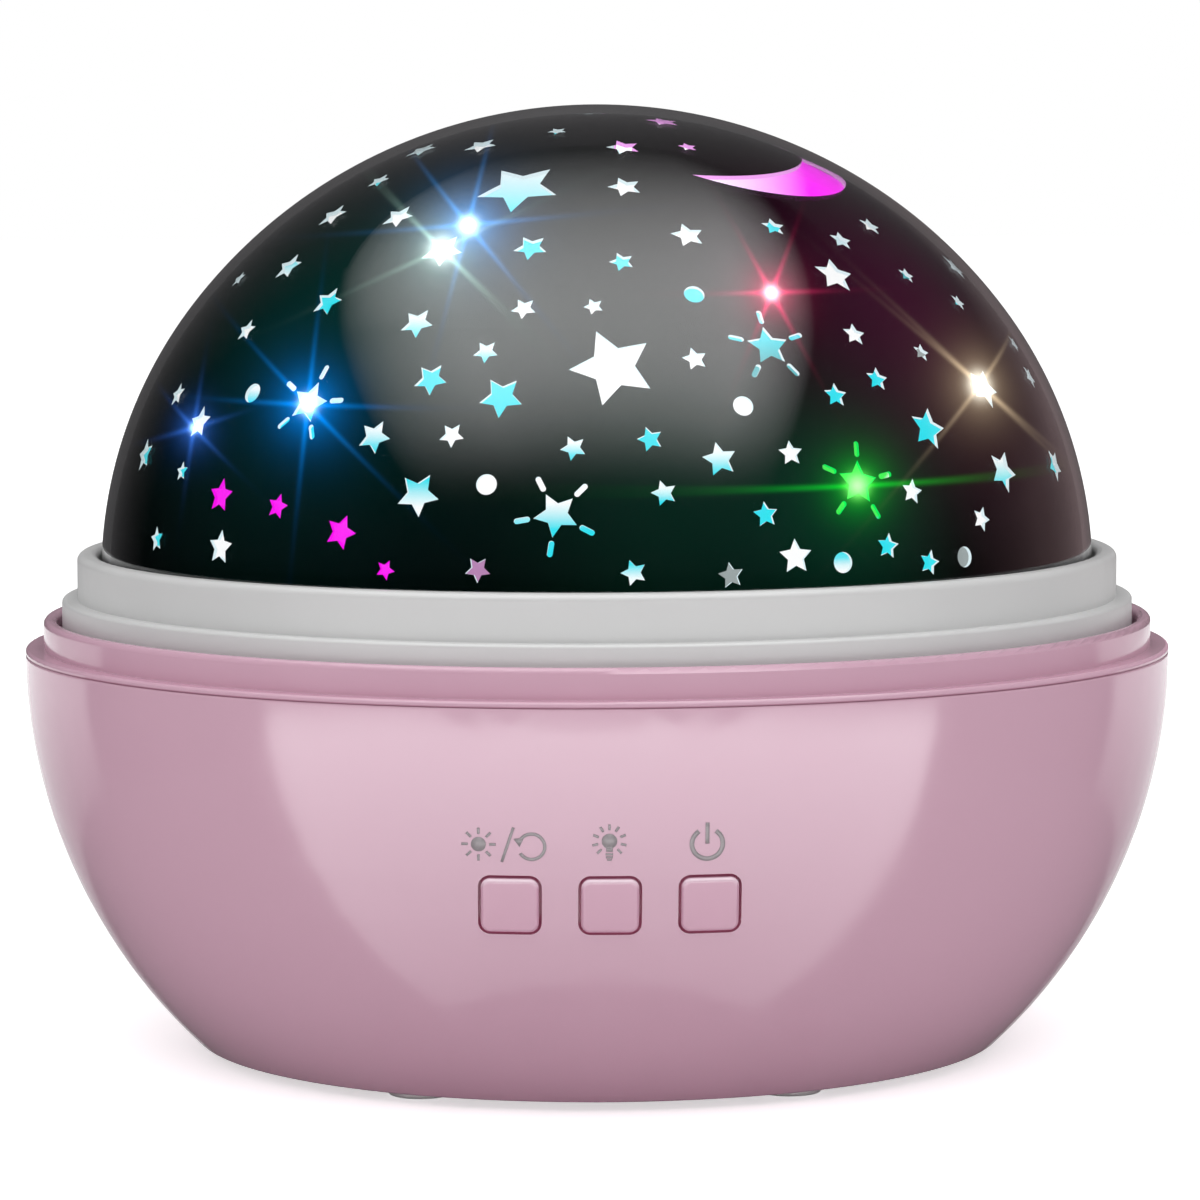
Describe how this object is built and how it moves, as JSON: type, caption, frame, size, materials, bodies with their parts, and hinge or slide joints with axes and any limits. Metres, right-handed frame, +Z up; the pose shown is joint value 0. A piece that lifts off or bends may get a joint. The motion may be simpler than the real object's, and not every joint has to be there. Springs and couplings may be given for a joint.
{
  "type": "projector lamp",
  "caption": "Round star projector night light: a black dome with star windows turns in a grey collar on a pink bowl with push buttons and a battery bay.",
  "frame": {"origin": "middle of the underside, on the surface that the feet stand on", "axes": "+Z up along the dome's turning axis; the front with the buttons faces -Y; +X is to the right seen from the front"},
  "size_m": [0.13, 0.13, 0.107],
  "materials": {
    "pink_plastic": "glossy moulded",
    "grey_plastic": "satin moulded",
    "clear_plastic": "clear, polished",
    "black_plastic": "glossy moulded",
    "film": "printed film",
    "gear_plastic": "moulded",
    "rubber": "matt",
    "steel": "plain",
    "screw_steel": "zinc plated",
    "contact_metal": "nickel plated",
    "board": "green lacquer",
    "lamp_board": "white lacquer",
    "chip": "matt",
    "switch": "matt",
    "capacitor_sleeve": "sleeved",
    "red_lens": "tinted clear",
    "green_lens": "tinted clear",
    "blue_lens": "tinted clear",
    "white_lens": "clear",
    "cell_sleeve": "sleeved",
    "wire": "insulated"
  },
  "bodies": {
    "base": {"bowl": "pink_plastic", "feet": "rubber", "top_cover": "pink_plastic", "thrust_washer": "gear_plastic", "motor_gearbox": "gear_plastic", "motor_can": "steel", "motor_bracket": "gear_plastic", "lamp_holder": "gear_plastic", "led_board": "lamp_board", "led_red": "red_lens", "led_green": "green_lens", "led_blue": "blue_lens", "led_white": "white_lens", "tact_switches": "switch", "main_board": "board", "control_chip": "chip", "capacitor": "capacitor_sleeve", "usb_board": "board", "usb_socket": "steel", "cells": "cell_sleeve", "positive_contacts": "contact_metal", "negative_contacts": "contact_metal", "cover_screws": "screw_steel", "board_screws": "screw_steel", "lamp_screws": "screw_steel", "motor_screws": "screw_steel", "usb_screws": "screw_steel", "lamp_leads": "wire", "motor_leads": "wire", "usb_leads": "wire", "battery_leads": "wire"},
    "turntable": {"turntable": "grey_plastic", "ring_gear": "gear_plastic"},
    "dome": {"clear_dome": "clear_plastic", "star_mask": "black_plastic", "colour_film": "film"},
    "pinion": {"pinion": "gear_plastic", "motor_shaft": "steel"},
    "brightness_button": {"brightness_button": "pink_plastic", "brightness_plunger": "switch"},
    "colour_button": {"colour_button": "pink_plastic", "colour_plunger": "switch"},
    "power_button": {"power_button": "pink_plastic", "power_plunger": "switch"},
    "battery_door": {"battery_door": "pink_plastic", "door_screws": "screw_steel"}
  },
  "joints": [
    {"name": "dome_spin", "type": "hinge", "parent": "base", "child": "turntable", "pos_m": [0, 0, 0.0411], "axis": [0, 0, 1], "continuous": true},
    {"name": "pinion_spin", "type": "hinge", "parent": "base", "child": "pinion", "pos_m": [-0.04, 0, 0.0411], "axis": [0, 0, 1], "continuous": true},
    {"name": "dome_lift", "type": "slide", "parent": "turntable", "child": "dome", "axis": [0, 0, 1], "range_m": [0, 0.06]},
    {"name": "brightness_press", "type": "slide", "parent": "base", "child": "brightness_button", "axis": [0, 1, 0], "range_m": [0, 0.0005], "stiffness_N_per_m": 3000},
    {"name": "colour_press", "type": "slide", "parent": "base", "child": "colour_button", "axis": [0, 1, 0], "range_m": [0, 0.0005], "stiffness_N_per_m": 3000},
    {"name": "power_press", "type": "slide", "parent": "base", "child": "power_button", "axis": [0, 1, 0], "range_m": [0, 0.0005], "stiffness_N_per_m": 3000},
    {"name": "battery_door_drop", "type": "slide", "parent": "base", "child": "battery_door", "axis": [0, 0, -1], "range_m": [0, 0.012]}
  ],
  "couplings": [
    {"joint": "pinion_spin", "follows": "dome_spin", "ratio": 6}
  ]
}
